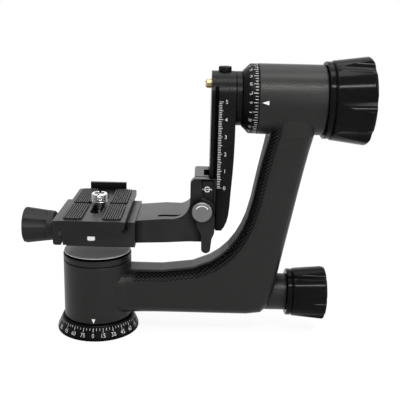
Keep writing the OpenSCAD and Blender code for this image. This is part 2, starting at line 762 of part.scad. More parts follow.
// recess round the pointer: bevel along its slanted foot, undercut at its top
module pointer_recess() {
  deep = 1.2;
  step = 0.2;
  over = 0.3;
  top = grip_top - 0.5;
  left = [grip_left + 7.2, grip_top - 10.9];
  right = [grip_right - 0.7, grip_top - 14.9];
  slab_y(-grip_half - 1, -grip_half + deep)
    polygon([[left[0] - 1.3, top], [right[0], top], right, left]);
  translate([left[0], -grip_half + deep - step, left[1]])
    rotate([0, atan((left[1] - right[1]) / (right[0] - left[0])), 0])
      rotate([52, 0, 0]) translate([-over, -3, 0])
        cube([norm(right - left) + 2 * over, 3, 3]);
  block(left[0] - 0.8, right[0] - over, -grip_half - 1, -grip_half + 2.6, top - 1, top - 0.1);
}
module platform_arm() {
  x0 = fix_right + seat_gap;
  difference() {
    slab_y(-plat_half, plat_half) polygon([[x0, plat_low], [rail_left - 2, plat_low + 1.6],
      [rail_left - 2, bend_top], [x0 + 16, bend_top], [x0, plat_top - 0.2]]);
    // both sides narrow towards the upright part
    for (s = [-1, 1]) translate([0, 0, plat_low - 1]) linear_extrude(plat_t + plat_rise + 2)
      polygon([[fix_right - 1, s * plat_half], [fix_right + 17, s * plat_half],
        [grip_left, s * grip_half], [rail_left, s * grip_half], [rail_left, s * 30],
        [fix_right - 1, s * 30]]);
  }
}
// inner bend below the face at x, from y0 to y1
module bend_fillet(x, y0, y1) {
  difference() {
    block(x - bend_r, x + 1, y0, y1, bend_top - 1, bend_top + bend_r);
    translate([x - bend_r, -30, bend_top + bend_r]) rotate([-90, 0, 0])
      cylinder(r = bend_r, h = 60);
  }
}
module at_bracket_screws() {
  for (y = [-5, 12]) translate([0, y, plat_low + 5]) children();
}

module bracket_screws() {
  color("#8f8f93") at_bracket_screws() x_rod(fix_right - 4.6, 11.6, m3_r);
}

// stud through both cheeks, its foot in the lever and a hexagon at the back
module lever_stud() {
  foot = lever_face + 2;
  color("#6f7074") translate([lever_x, 0, lever_z]) rotate([-90, 0, 0]) union() {
    translate([0, 0, -foot]) cylinder(r = stud_r, h = foot + grip_half + 1.3);
    translate([0, 0, grip_half + run_gap]) cylinder(r = 4.6, h = 2.2, $fn = 6);
  }
}

module lever() {
  foot = clamp_low - 0.6;
  foot_x = lever_x + 2.7;
  foot_r = 2.7;
  color("#202022") difference() {
    union() {
      on_lever(0) cylinder(r = lever_r + 0.3, h = lever_t);
      slab_y(-lever_face - lever_t, -lever_face) polygon([[lever_x - 4, lever_z],
        [foot_x - 5.6, foot + 13.4], [foot_x - 4.4, foot + 11.6], [foot_x - 3.3, foot + 9.8],
        [foot_x - 2.9, foot + 8], [foot_x - foot_r, foot], [foot_x + foot_r, foot],
        [foot_x + 3.3, foot + 6], [foot_x + 3.8, foot + 7.4], [foot_x + 4.5, foot + 8.9],
        [foot_x + 4.8, foot + 10.4], [foot_x + 4.8, lever_z - 4], [foot_x + 3, lever_z]]);
      translate([foot_x, -lever_face, foot]) rotate([90, 0, 0]) cylinder(r = foot_r, h = lever_t);
    }
    on_lever(-2) cylinder(r = stud_r + seat_gap, h = lever_t + 3);
    // hollow along the back of the tail
    translate([foot_x, -lever_face + 1.4, foot + 0.6]) cylinder(r = 2, h = 10);
  }
}
// places a piece on the lever's axis, out from the face of the bracket
module on_lever(out) {
  translate([lever_x, -lever_face - out, lever_z]) rotate([90, 0, 0]) children();
}
module lever_cap() {
  color("#9c9ca0") on_lever(lever_t + seat_gap) union() {
    cylinder(r = lever_r, h = 1.3);
    translate([0, 0, 1.3 - eps]) cylinder(r1 = lever_r, r2 = lever_r - 0.5, h = 0.5);
    translate([0, 0, -1.2]) cylinder(r = stud_r - 0.1, h = 1.2 + eps);
  }
}

// ------------------------------------------------------------------ clamp

module clamp_base() {
  color("#1a1a1c") difference() {
    union() {
      block(base_left, fix_right, -clamp_half, clamp_half, clamp_low, floor_z);
      block(plate_right - vee_deep + grip_gap, fix_right, -clamp_half, clamp_half, clamp_low, jaw_top);
    }
    // seat of the fixed jaw, the plate's own side moved out by the clearance
    translate([plate_x + grip_gap, 0, plate_low]) slab_y(-30, 30) plate_side();
    block(plate_x, plate_right + grip_gap, -30, 30, floor_z, plate_low + 0.4);
    // relief along the floor, cut with a round tool
    translate([plate_x, -30, floor_z + 5.2]) rotate([-90, 0, 0]) cylinder(r = 7, h = 60);
    // bolt and guide pin bores
    translate([0, 0, cknob_z]) x_rod(base_left - 1, 30, bolt_r + run_gap);
    at_guide_pins() x_rod(base_left - 1, 16, pin_r + run_gap);
    at_bracket_screws() x_rod(fix_right - 13.4, 20, m3_r + seat_gap);
    // bevelled underside
    for (s = [-1, 1]) translate([plate_x, 0, clamp_low]) rotate([0, 90, 0])
      linear_extrude(2 * plate_w, center = true)
        polygon([[eps, s * (clamp_half - 1)], [-1, s * (clamp_half + eps)],
          [1, s * (clamp_half + eps)]]);
    // shallow step towards the moving jaw
    block(base_left - 1, base_left + 2, -clamp_half - 1, clamp_half + 1, clamp_low - 1, clamp_low + 0.8);
  }
}
module at_guide_pins() {
  for (y = [-15, 15]) translate([0, y, cknob_z]) children();
}

module clamp_jaw() {
  jaw_low = clamp_low + 0.8;
  round_r = 1.5;
  color("#1a1a1c") difference() {
    block(jaw_left, plate_left + vee_deep - grip_gap, -clamp_half, clamp_half, jaw_low, jaw_top);
    // step that clears the base
    block(base_left - 1.2, plate_left + 5, -clamp_half - 1, clamp_half + 1, clamp_low, floor_z + 0.1);
    // seat, the plate's own side moved out by the clearance
    translate([plate_x - grip_gap, 0, plate_low]) slab_y(-30, 30) plate_side();
    block(plate_left - grip_gap, plate_x, -30, 30, floor_z, plate_low + 0.4);
    // rounded lower edge
    difference() {
      block(jaw_left - 1, jaw_left + round_r, -30, 30, clamp_low, jaw_low + round_r);
      translate([jaw_left + round_r, -30, jaw_low + round_r]) rotate([-90, 0, 0])
        cylinder(r = round_r, h = 60);
    }
    translate([0, 0, cknob_z]) x_rod(jaw_left - 1, 8, bolt_r + run_gap);
    at_guide_pins() x_rod(jaw_left - 1, 8, pin_r);
  }
}
module guide_pins() {
  color("#a9abb0") at_guide_pins() x_rod(jaw_left + 0.4, 15, pin_r - seat_gap);
}

module clamp_knob() {
  r_in = cknob_r * 0.8;
  x_out = cknob_in - cknob_len;
  neck = jaw_left - run_gap - x_out;
  color("#121213") translate([0, 0, cknob_z]) difference() {
    translate([x_out, 0, 0]) rotate([0, 90, 0]) rotate_extrude() polygon(concat(
      [[0, 0]], arc_rz(cknob_r - 1.6, 1.6, 1.6, -90, 0),
      [[r_in, cknob_len - 0.6], [r_in - 0.6, cknob_len], [5.4, cknob_len], [5.4, neck], [0, neck]]));
    x_rod(x_out + 6, 20, bolt_r + seat_gap);
    x_rod(x_out - 1, 1.5, cknob_r * 0.55);
    for (i = [0:7]) rotate([22.5 + i * 45, 0, 0]) translate([x_out - 1, -(cknob_r + 3.4), 0])
      rotate([0, 0, 5.5]) rotate([0, 90, 0]) cylinder(r = 4.4, h = cknob_len * 0.85);
  }
}
module clamp_bolt() {
  color("#8f8f93") translate([0, 0, cknob_z])
    x_rod(cknob_in - cknob_len + 6 + seat_gap, 34, bolt_r);
}

// ------------------------------------------------------------------ plate

// end view of the plate: a V-groove along each long side
module plate_side() {
  hw = plate_w / 2;
  polygon(concat(
    [for (p = [[0, -0.4], [0.4, 0], [vee_mid - 0.4, -vee_deep], [vee_mid + 0.4, -vee_deep],
      [vee_mid + 2.2, 0], [plate_t - 0.5, 0], [plate_t, -0.5]]) [hw + p[1], p[0]]],
    [for (p = [[plate_t, -0.5], [plate_t - 0.5, 0], [vee_mid + 2.2, 0],
      [vee_mid + 0.4, -vee_deep], [vee_mid - 0.4, -vee_deep], [0.4, 0], [0, -0.4]])
      [-hw - p[1], p[0]]]));
}
module slot_cut(w, len, z0, h) {
  for (s = [-1, 1]) translate([plate_x, s * (len / 2 - w / 2), z0]) cylinder(r = w / 2, h = h);
  translate([plate_x - w / 2, -len / 2 + w / 2, z0]) cube([w, len - w, h]);
}
// the four pads: rows along the plate, columns beside the slot
pad_w = 10.4;
pad_rows = [[plate_front + 3.1, -2.4], [0.6, -plate_front - 1.6]];
pad_cols = [plate_x - pad_w - 5.8, plate_x + 5.8];
pad_ribs = 8;
module pads(inset) {
  for (x = pad_cols) for (row = pad_rows)
    round_block(x + inset, x + pad_w - inset, row[0] + inset, row[1] - inset, pad_round - inset);
}
// block with rounded upright edges, as deep as the plate
module round_block(x0, x1, y0, y1, r) {
  for (x = [x0 + r, x1 - r]) for (y = [y0 + r, y1 - r]) translate([x, y, 0])
    cylinder(r = r, h = plate_t);
  translate([x0 + r, y0, 0]) cube([x1 - x0 - 2 * r, y1 - y0, plate_t]);
  translate([x0, y0 + r, 0]) cube([x1 - x0, y1 - y0 - 2 * r, plate_t]);
}

module plate() {
  color("#2a2a2c") difference() {
    union() {
      translate([plate_x, 0, plate_low]) slab_y(plate_front, -plate_front) plate_side();
      // anti-twist flange at the back
      block(plate_x - 11.4, plate_x + 12.1, -plate_front - eps, -plate_front + 2.6,
        plate_low + 2, plate_top + 4.6);
    }
    slot_cut(slot_w, slot_len, plate_low - 1, plate_t + 2);
    slot_cut(slot_w + 5, slot_len + 5, plate_low - 1, 4.6);
    // seats for the pads
    translate([0, 0, plate_top - 1]) pads(0);
    at_stop_screws() translate([0, 0, -1]) cylinder(r = m3_r + seat_gap, h = 6);
    // cut corners of the lower edge
    for (s = [-1, 1]) for (e = [-1, 1])
      translate([plate_x + s * plate_w / 2, e * plate_front, plate_low - 1]) rotate([0, 0, 45])
        translate([-1.6, -1.6, 0]) cube([3.2, 3.2, vee_mid + 1]);
    // relief under the plate
    block(plate_left + 7, plate_right - 7, plate_front + 14, -plate_front - 14, plate_low - 1,
      plate_low + 0.8);
  }
}
module at_stop_screws() {
  for (s = [-1, 1]) translate([plate_x - 0.6, s * (clamp_half + 6.5), plate_low]) children();
}
module stop_screws() {
  color("#c9c9cc") at_stop_screws() translate([0, 0, -seat_gap]) mirror([0, 0, 1])
    cap_screw(m3_r, 2.65, 4.1, 4);
}
// ribbed rubber, ribs along the length of the plate
module plate_pads() {
  rib = pad_w / pad_ribs;
  color("#2c2c2e") difference() {
    intersection() {
      translate([0, 0, plate_top - 1 + seat_gap]) pads(0.1);
      block(plate_left, plate_right, plate_front, -plate_front, plate_low, plate_top + pad_rise);
    }
    for (x = pad_cols) for (k = [1:pad_ribs - 1])
      block(x + k * rib - 0.25, x + k * rib + 0.25, plate_front, -plate_front,
        plate_top + 0.1, plate_top + 5);
  }
}

camera_y = -1.5;
shank_r = 3.1;
module camera_screw() {
  color("#c9c9cc") translate([plate_x, camera_y, 0]) difference() {
    union() {
      translate([0, 0, plate_low + 0.9]) cylinder(r = 5, h = 2.6);
      translate([0, 0, plate_low + 3.4]) cylinder(r = shank_r, h = 11);
    }
    translate([-6, -0.6, plate_low]) cube([12, 1.2, 1.9]);
  }
}
// thread adapter: rings with flat crests stand for the thread
module screw_adapter() {
  pitch = 1.1;
  rings = 5;
  root_r = adapter_r - 0.5;
  flank = 0.35;
  crest = 0.25;
  color("#c9c9cc") translate([plate_x, camera_y, plate_top + 1.9]) difference() {
    rotate_extrude() polygon(concat([[shank_r + seat_gap, 0], [root_r, 0]],
      [for (k = [0:rings - 1]) each [[root_r, k * pitch], [adapter_r, k * pitch + flank],
        [adapter_r, k * pitch + flank + crest], [root_r, k * pitch + 2 * flank + crest]]],
      [[root_r, rings * pitch], [shank_r + seat_gap, rings * pitch]]));
    // screwdriver slot across the top
    translate([-0.7, -8, rings * pitch - 1.4]) cube([1.4, 16, 4]);
  }
}

base_disc();
tripod_insert();
base_screws();
pan_dial_ring();
pan_spindle();
pan_inner_races();
pan_nut();
arm_shell();
pan_sleeve();
pan_outer_races();
pan_balls();
pan_cap();
pan_lock_boss();
tilt_sleeve();
tilt_outer_races();
tilt_balls();
pan_lock_rod();
pan_brake_shoe();
pan_knob();
pan_knob_end();
tilt_shaft();
tilt_inner_races();
tilt_dial();
hub_spacer();
rail();
hub_screw();
rail_stop();
tilt_washer();
tilt_knob();
tilt_knob_end();
bracket();
bracket_screws();
lever_stud();
lever();
lever_cap();
clamp_base();
clamp_jaw();
guide_pins();
clamp_knob();
clamp_bolt();
plate();
plate_pads();
stop_screws();
camera_screw();
screw_adapter();
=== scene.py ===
import bpy
import math
from mathutils import Matrix, Vector


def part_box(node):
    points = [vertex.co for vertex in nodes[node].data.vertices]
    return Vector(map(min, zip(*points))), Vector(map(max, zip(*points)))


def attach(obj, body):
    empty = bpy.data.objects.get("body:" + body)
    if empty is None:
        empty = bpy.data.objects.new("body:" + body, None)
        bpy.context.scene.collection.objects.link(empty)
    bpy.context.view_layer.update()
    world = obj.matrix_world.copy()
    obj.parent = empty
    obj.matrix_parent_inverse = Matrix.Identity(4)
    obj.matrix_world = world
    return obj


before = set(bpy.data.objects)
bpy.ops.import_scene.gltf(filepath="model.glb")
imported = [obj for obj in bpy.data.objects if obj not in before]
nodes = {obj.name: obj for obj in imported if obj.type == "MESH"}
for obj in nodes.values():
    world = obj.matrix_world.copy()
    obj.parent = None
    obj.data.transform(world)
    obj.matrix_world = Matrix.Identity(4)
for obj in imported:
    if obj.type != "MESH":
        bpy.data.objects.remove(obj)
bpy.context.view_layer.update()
scene = bpy.context.scene

# ----------------------------------------------------------------------- sizes

MM = 0.001
# print: its thickness, and how far its middle stands off the surface
INK = 0.03 * MM
LIFT = 0.035 * MM
# edges steeper than this stay sharp
SHARP = math.radians(32)
# degrees from tick to tick and from number to number on both dials, which count from 0 in
# each quarter turn
TICK_STEP = 5
NUMBER_STEP = 15
QUARTER = 90
TICKS = 360 // TICK_STEP
NUMBERS = 360 // NUMBER_STEP
LONG_EVERY = NUMBER_STEP // TICK_STEP
# the tilt axis lies along X at this height, and the arm ends in two round housings
dial_lo, dial_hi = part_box("tilt_dial")
arm_lo, arm_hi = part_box("arm_shell")
TILT_Z = (dial_lo.z + dial_hi.z) / 2
TILT_R = arm_hi.z - TILT_Z
PAN_R = -arm_lo.x


# ---------------------------------------------------------------- node helpers

class Tree:
    """A node tree with short ways to add nodes."""

    def __init__(self, nt):
        self.nt = nt

    def put(self, socket, value):
        """Links a socket to another one, or sets its value."""
        if isinstance(value, bpy.types.NodeSocket):
            self.nt.links.new(value, socket)
        else:
            socket.default_value = value

    def node(self, kind, **inputs):
        n = self.nt.nodes.new(kind)
        for key, value in inputs.items():
            self.put(n.inputs[key.replace("_", " ")], value)
        return n

    def math(self, op, a, b=0.0, c=0.0):
        n = self.nt.nodes.new("ShaderNodeMath")
        n.operation = op
        for socket, value in zip(n.inputs, (a, b, c)):
            self.put(socket, value)
        return n.outputs[0]

    def reach(self, a, b):
        """Length of the hypotenuse over a and b."""
        return self.math("SQRT", self.math("ADD", self.math("MULTIPLY", a, a),
                                           self.math("MULTIPLY", b, b)))

    def coord(self, out="Object"):
        return self.nt.nodes.new("ShaderNodeTexCoord").outputs[out]

    def xyz(self, vector):
        n = self.node("ShaderNodeSeparateXYZ", Vector=vector)
        return n.outputs["X"], n.outputs["Y"], n.outputs["Z"]

    def ramp(self, fac, stops):
        """Colour ramp over [(place, grey or colour), ...]."""
        n = self.node("ShaderNodeValToRGB", Fac=fac)
        while len(n.color_ramp.elements) < len(stops):
            n.color_ramp.elements.new(0.5)
        for e, (pos, col) in zip(n.color_ramp.elements, stops):
            e.position = pos
            c = (col, col, col) if isinstance(col, float) else col
            e.color = (*c, 1.0)
        return n.outputs["Color"]

    def clamped(self, value, start, end, low=0.0, high=1.0):
        """low at start and before it, high at end and beyond, also where end is the lower one."""
        n = self.node("ShaderNodeMapRange", Value=value, From_Min=start, From_Max=end,
                      To_Min=low, To_Max=high)
        return n.outputs["Result"]

    def seen(self):
        """1 on rays from the camera, from a mirror or through glass, and 0 on all others."""
        path = self.nt.nodes.new("ShaderNodeLightPath").outputs
        rays = self.math("ADD", path["Is Camera Ray"],
                         self.math("ADD", path["Is Glossy Ray"], path["Is Transmission Ray"]))
        return self.math("MINIMUM", rays, 1.0)

    def blend(self, factor, first, second, out):
        """Shader that goes from first to second, into the output node."""
        n = self.node("ShaderNodeMixShader", Fac=factor)
        self.put(n.inputs[1], first.outputs[0])
        self.put(n.inputs[2], second.outputs[0])
        self.put(out.inputs["Surface"], n.outputs[0])


class Mat(Tree):
    """A material with its Principled shader."""

    def __init__(self, name):
        self.m = bpy.data.materials.new(name)
        self.m.use_nodes = True
        super().__init__(self.m.node_tree)
        self.p = self.nt.nodes["Principled BSDF"]

    def surface(self, **inputs):
        """Sets or links inputs of the Principled shader."""
        for key, value in inputs.items():
            self.put(self.p.inputs[key.replace("_", " ")], value)

    def noise(self, scale, detail=3.0, stretch=(1, 1, 1)):
        mapping = self.node("ShaderNodeMapping", Vector=self.coord(), Scale=stretch)
        n = self.node("ShaderNodeTexNoise", Vector=mapping.outputs[0], Scale=scale,
                      Detail=detail)
        return n.outputs["Fac"]

    def span(self, fac, low, high):
        return self.clamped(fac, 0.0, 1.0, low, high)

    def tinted(self, color, factor):
        """color times factor, on the base colour."""
        n = self.nt.nodes.new("ShaderNodeVectorMath")
        n.operation = "SCALE"
        self.put(n.inputs[0], color)
        self.put(n.inputs["Scale"], factor)
        self.surface(Base_Color=n.outputs[0])

    def crease_shade(self, reach=5 * MM, floor=0.12):
        """Painted shade from ambient occlusion: 1 on open faces, falling towards floor deep in grooves
        and gaps.
        """
        n = self.node("ShaderNodeAmbientOcclusion", Distance=reach)
        n.samples = 8
        return self.span(self.math("POWER", n.outputs["AO"], 2.0), floor, 1.0)

    def bump(self, height, distance, strength, edge=0.0):
        """Surface grain, with edges that look rounded by the radius edge."""
        n = self.node("ShaderNodeBump", Height=height, Distance=distance, Strength=strength)
        if edge:
            bevel = self.node("ShaderNodeBevel", Radius=edge)
            bevel.samples = 6
            self.put(n.inputs["Normal"], bevel.outputs[0])
        self.surface(Normal=n.outputs[0])


# ------------------------------------------------------------------- materials

def anodised(name, dark, light, spec, rough_low, rough_high, edge=0.3 * MM, disc=None):
    """Black anodised aluminium: fine blasted grain, slightly cloudy sheen.

    disc is the height above which a turned disc shows a paler, blasted top."""
    m = Mat(name)
    base = m.ramp(m.noise(70.0, 4.0), [(0.3, (dark, dark, dark * 1.06)),
                                       (0.7, (light, light, light * 1.05))])
    if disc:
        above = m.math("GREATER_THAN", m.xyz(m.coord())[2], disc)
        pale = m.node("ShaderNodeMix", Factor=above)
        pale.data_type = "RGBA"
        m.put(pale.inputs[6], base)
        m.put(pale.inputs[7], (0.42, 0.42, 0.41, 1.0))
        base = pale.outputs[2]
    # painted shade: ambient occlusion darkens the colour and the sheen in grooves and gaps
    crease_shade = m.crease_shade()
    m.tinted(base, crease_shade)
    m.surface(Specular_IOR_Level=m.math("MULTIPLY", crease_shade, spec),
              Roughness=m.span(m.noise(260.0), rough_low, rough_high))
    m.bump(m.noise(5200.0, 2.0), 0.00003, 0.35, edge)
    return m.m


def gloss_paint(name):
    """Glossy black lacquer with a faint ripple."""
    m = Mat(name)
    # painted shade: the sheen falls off in grooves and gaps
    m.surface(Base_Color=m.ramp(m.noise(60.0), [(0.3, 0.0022), (0.7, 0.0034)]),
              Specular_IOR_Level=m.math("MULTIPLY", m.crease_shade(), 0.045),
              Roughness=m.span(m.noise(420.0, 4.0), 0.08, 0.14))
    m.bump(m.noise(900.0), 0.00002, 0.25, 0.45 * MM)
    return m.m


def matte_plastic(name):
    """Dull black plastic with a fine moulded grain."""
    m = Mat(name)
    # painted shade: the sheen falls off in grooves and gaps
    m.surface(Base_Color=m.ramp(m.noise(90.0), [(0.3, 0.007), (0.7, 0.010)]),
              Specular_IOR_Level=m.math("MULTIPLY", m.crease_shade(), 0.17),
              Roughness=m.span(m.noise(500.0), 0.45, 0.58))
    m.bump(m.noise(3800.0), 0.00005, 0.4, 0.5 * MM)
    return m.m


def weave(m, u, v, pitch):
    """Plain weave in two directions: height of the tow on top, and which way it runs."""
    su = m.math("MULTIPLY", u, 1.0 / pitch)
    sv = m.math("MULTIPLY", v, 1.25 / pitch)
    cell = m.math("ADD", m.math("FLOOR", su), m.math("FLOOR", sv))
    warp = m.math("LESS_THAN", m.math("FLOORED_MODULO", cell, 2.0), 1.0)
    cu = m.math("SINE", m.math("MULTIPLY", m.math("FRACT", su), math.pi))
    cv = m.math("SINE", m.math("MULTIPLY", m.math("FRACT", sv), math.pi))
    other = m.math("SUBTRACT", 1.0, warp)
    along = m.math("MULTIPLY", warp, m.math("MULTIPLY_ADD", cu, 0.3, m.math("MULTIPLY", cv, 0.7)))
    across = m.math("MULTIPLY", other, m.math("MULTIPLY_ADD", cv, 0.3, m.math("MULTIPLY", cu, 0.7)))
    return m.math("ADD", along, across), warp


def dark_edge_reflection(m, place, normal):
    """Where a dark reflection is painted on the carbon: 1 over the arm's rounded inner edges, 0 on its
    flat faces and on both housings.
    """
    x, y, z = place
    nx, ny, nz = normal
    ay = m.math("ABSOLUTE", ny)
    inner = m.clamped(m.math("SUBTRACT", nz, nx), -0.05, 0.3)
    bend = m.math("MAXIMUM", m.clamped(ay, 0.05, 0.3), m.clamped(nz, 0.9, 0.6))
    edges = m.math("MULTIPLY", inner, m.math("MULTIPLY", m.clamped(ay, 0.99, 0.84), bend))
    from_tilt = m.reach(y, m.math("SUBTRACT", z, TILT_Z))
    from_pan = m.reach(x, y)
    clear = m.math("MULTIPLY", m.clamped(from_tilt, TILT_R + 0.3 * MM, TILT_R + 1.5 * MM),
                   m.clamped(from_pan, PAN_R + 4.3 * MM, PAN_R + 7.1 * MM))
    return m.math("MULTIPLY", edges, clear)


def carbon(name):
    """Satin carbon: the weave lies on whichever plane the surface faces."""
    m = Mat(name)
    x, y, z = m.xyz(m.coord())
    geometry = m.nt.nodes.new("ShaderNodeNewGeometry")
    nx, ny, nz = m.xyz(geometry.outputs["Normal"])
    pitch = 1.3 * MM
    crown_front, warp_front = weave(m, x, z, pitch)
    crown_top, warp_top = weave(m, x, y, pitch)
    crown_side, warp_side = weave(m, y, z, pitch)
    ax, ay, az = (m.math("ABSOLUTE", n) for n in (nx, ny, nz))
    top = m.math("MULTIPLY", m.math("GREATER_THAN", az, ay), m.math("GREATER_THAN", az, ax))
    side = m.math("MULTIPLY", m.math("GREATER_THAN", ax, ay), m.math("GREATER_THAN", ax, az))

    def pick(front, above, beside):
        a = m.node("ShaderNodeMix", Factor=top, A=front, B=above)
        return m.node("ShaderNodeMix", Factor=side, A=a.outputs[0], B=beside).outputs[0]

    crown = pick(crown_front, crown_top, crown_side)
    warp = pick(warp_front, warp_top, warp_side)
    tone = m.math("MULTIPLY_ADD", warp, 0.45, m.math("MULTIPLY", crown, 0.5))
    mottled = m.math("MULTIPLY", tone, m.span(m.noise(45.0), 0.6, 1.2))
    # painted reflection: over the arm's rounded inner edges a dark band, standing for a dark
    # surrounding seen in them, darkens the colour and the sheen, and the weave's dashes stay brighter
    # in it
    band = dark_edge_reflection(m, (x, y, z), (nx, ny, nz))
    flat = m.math("SUBTRACT", 1.0, band)
    dash = m.math("MULTIPLY", warp, m.clamped(crown, 0.45, 0.85))
    m.tinted(m.ramp(mottled, [(0.05, (0.0070, 0.0070, 0.0073)), (0.95, (0.0102, 0.0100, 0.0095))]),
             m.math("MULTIPLY_ADD", band, m.math("MULTIPLY_ADD", dash, 0.9, -0.7), 1.0))
    # partly the weave and partly painted shade: the sheen between the dashes is lowered only on faces
    # that look up, where the top highlight falls
    above = m.math("MULTIPLY", m.clamped(nz, 0.3, 0.7), m.math("SUBTRACT", 1.0, dash))
    sheen = m.math("MULTIPLY", m.math("MULTIPLY_ADD", warp, 0.02, 0.165),
                   m.math("MULTIPLY_ADD", above, -0.3, 1.0))
    # painted reflection: inside the dark band the sheen drops nearly to nothing except on the weave's
    # dashes
    dark_band_sheen = m.math("MULTIPLY_ADD", dash, 0.11, 0.006)
    gleam = m.math("MULTIPLY_ADD", sheen, flat, m.math("MULTIPLY", dark_band_sheen, band))
    # painted shade: ambient occlusion lowers the sheen in hollows and corners
    m.surface(Specular_IOR_Level=m.math("MULTIPLY", m.crease_shade(8 * MM, 0.3), gleam),
              Specular_Tint=m.ramp(warp, [(0.2, (0.95, 0.97, 1.0)), (0.8, (1.0, 0.95, 0.87))]),
              Roughness=m.span(crown, 0.42, 0.30))
    m.bump(crown, 0.00006, 0.5, 1.2 * MM)
    return m.m


def rubber(name):
    """Dull rubber, with painted shade in the grooves between the ribs."""
    m = Mat(name)
    crease_shade = m.crease_shade(1.2 * MM, 0.05)
    m.tinted(m.ramp(m.noise(120.0), [(0.3, 0.015), (0.7, 0.022)]), crease_shade)
    m.surface(Roughness=m.span(m.noise(600.0), 0.55, 0.7),
              Specular_IOR_Level=m.math("MULTIPLY", crease_shade, 0.33))
    m.bump(m.noise(2600.0), 0.00006, 0.5, 0.2 * MM)
    return m.m


def metal(name, color, rough, stretch=(1, 1, 14), groove_shade=0.0):
    """Turned or brushed bare metal: fine marks drawn out along one axis.

    The last argument is how far from a wall the painted shade of a groove reaches."""
    m = Mat(name)
    marks = m.noise(900.0, 3.0, stretch)
    low = tuple(c * 0.82 for c in color)
    # painted shade: ambient occlusion darkens the colour near walls in grooves
    m.tinted(m.ramp(marks, [(0.3, low), (0.7, color)]), m.crease_shade(groove_shade, 0.02) if groove_shade else 1.0)
    m.surface(Roughness=m.span(marks, rough * 0.8, rough * 1.3), Metallic=1.0)
    m.bump(marks, 0.00003, 0.3, 0.2 * MM)
    return m.m


def print_white(name):
    """White screen print, a little uneven."""
    m = Mat(name)
    m.surface(Base_Color=m.ramp(m.noise(700.0), [(0.35, (0.42, 0.42, 0.415)),
                                                 (0.7, (0.55, 0.55, 0.545))]),
              Roughness=m.span(m.noise(900.0), 0.45, 0.6))
    m.bump(m.noise(4000.0), 0.00001, 0.2)
    return m.m


MATS = {
    "black": anodised("anodised_black", 0.006, 0.009, 0.19, 0.30, 0.40),
    "disc": anodised("anodised_cap", 0.006, 0.009, 0.18, 0.34, 0.44, disc=50.65 * MM),
    "grip": anodised("anodised_grip", 0.006, 0.010, 0.15, 0.30, 0.38),
    "rail": anodised("anodised_rail", 0.002, 0.004, 0.075, 0.24, 0.32),
    "plate": anodised("anodised_plate", 0.005, 0.008, 0.14, 0.30, 0.40),
    "dial": anodised("anodised_dial", 0.002, 0.004, 0.04, 0.28, 0.36),
    "gloss": gloss_paint("gloss_black_paint"),
    "matte": matte_plastic("matte_black_plastic"),
    "carbon": carbon("carbon_twill"),
    "rubber": rubber("pad_rubber"),
    "steel": metal("turned_steel", (0.50, 0.50, 0.51), 0.30),
    "bright": metal("bright_steel", (0.80, 0.80, 0.81), 0.22, groove_shade=1.6 * MM),
    "liner": metal("turned_aluminium", (0.55, 0.55, 0.57), 0.35, (14, 14, 1)),
    "cap": metal("satin_grey_cap", (0.168, 0.168, 0.172), 0.42, (1, 1, 1)),
    "brass": metal("turned_brass", (0.42, 0.31, 0.15), 0.30, (14, 1, 1)),
    "oxide": anodised("black_oxide", 0.004, 0.007, 0.12, 0.32, 0.42, 0.2 * MM),
    "print": print_white("white_print"),
}
FINISH = {
    "black": ["base_disc", "pan_lock_boss", "clamp_base", "clamp_jaw"],
    "disc": ["pan_cap"],
    "grip": ["bracket", "lever"],
    "rail": ["rail", "hub_spacer"],
    "plate": ["plate"],
    "dial": ["pan_dial_ring", "tilt_dial"],
    "gloss": ["pan_knob", "tilt_knob", "pan_knob_end", "tilt_knob_end"],
    "matte": ["clamp_knob"],
    "carbon": ["arm_shell"],
    "rubber": ["plate_pads"],
    "steel": ["tripod_insert", "base_screws", "pan_spindle", "pan_inner_races", "pan_nut",
              "pan_outer_races", "pan_balls", "tilt_outer_races", "tilt_balls",
              "pan_lock_rod", "tilt_shaft", "tilt_inner_races", "tilt_washer",
              "bracket_screws", "lever_stud", "guide_pins", "clamp_bolt"],
    "bright": ["stop_screws", "camera_screw", "screw_adapter"],
    "liner": ["pan_sleeve", "tilt_sleeve"],
    "cap": ["lever_cap"],
    "brass": ["pan_brake_shoe", "rail_stop"],
    "oxide": ["hub_screw"],
}
for key, names in FINISH.items():
    for name in names:
        mesh = nodes[name].data
        mesh.materials.clear()
        mesh.materials.append(MATS[key])
        mesh.shade_smooth()
        mesh.set_sharp_from_angle(angle=SHARP)


# -------------------------------------------------------------- shapes in print

def glyph(text):
    """Flat mesh of a short number of height 1, centred, as points and faces."""
    curve = bpy.data.curves.new("glyph", "FONT")
    curve.body = text
    # a figure takes this share of the font's size, and its strokes are drawn a little thin
    curve.size = 1.0 / 0.7
    curve.offset = -0.015
    curve.align_x = "CENTER"
    curve.resolution_u = 3
    obj = bpy.data.objects.new("glyph", curve)
    scene.collection.objects.link(obj)
    bpy.context.view_layer.update()
    mesh = bpy.data.meshes.new_from_object(obj.evaluated_get(bpy.context.evaluated_depsgraph_get()))
    ys = [v.co.y for v in mesh.vertices]
    xs = [v.co.x for v in mesh.vertices]
    cy, cx = (min(ys) + max(ys)) / 2, (min(xs) + max(xs)) / 2
    pts = [(v.co.x - cx, v.co.y - cy) for v in mesh.vertices]
    faces = [tuple(f.vertices) for f in mesh.polygons]
    bpy.data.objects.remove(obj)
    bpy.data.curves.remove(curve)
    bpy.data.meshes.remove(mesh)
    return pts, faces


GLYPHS = {n: glyph(str(n)) for n in (0, 1, 2, 3, 4, 5, 15, 30, 45, 60, 75)}


def number(n, height, squeeze=1.0, up=0.0):
    """The number n at a height, narrowed by squeeze, with its middle at (0, up)."""
    pts, faces = GLYPHS[n]
    return [(x * height * squeeze, y * height + up) for x, y in pts], faces


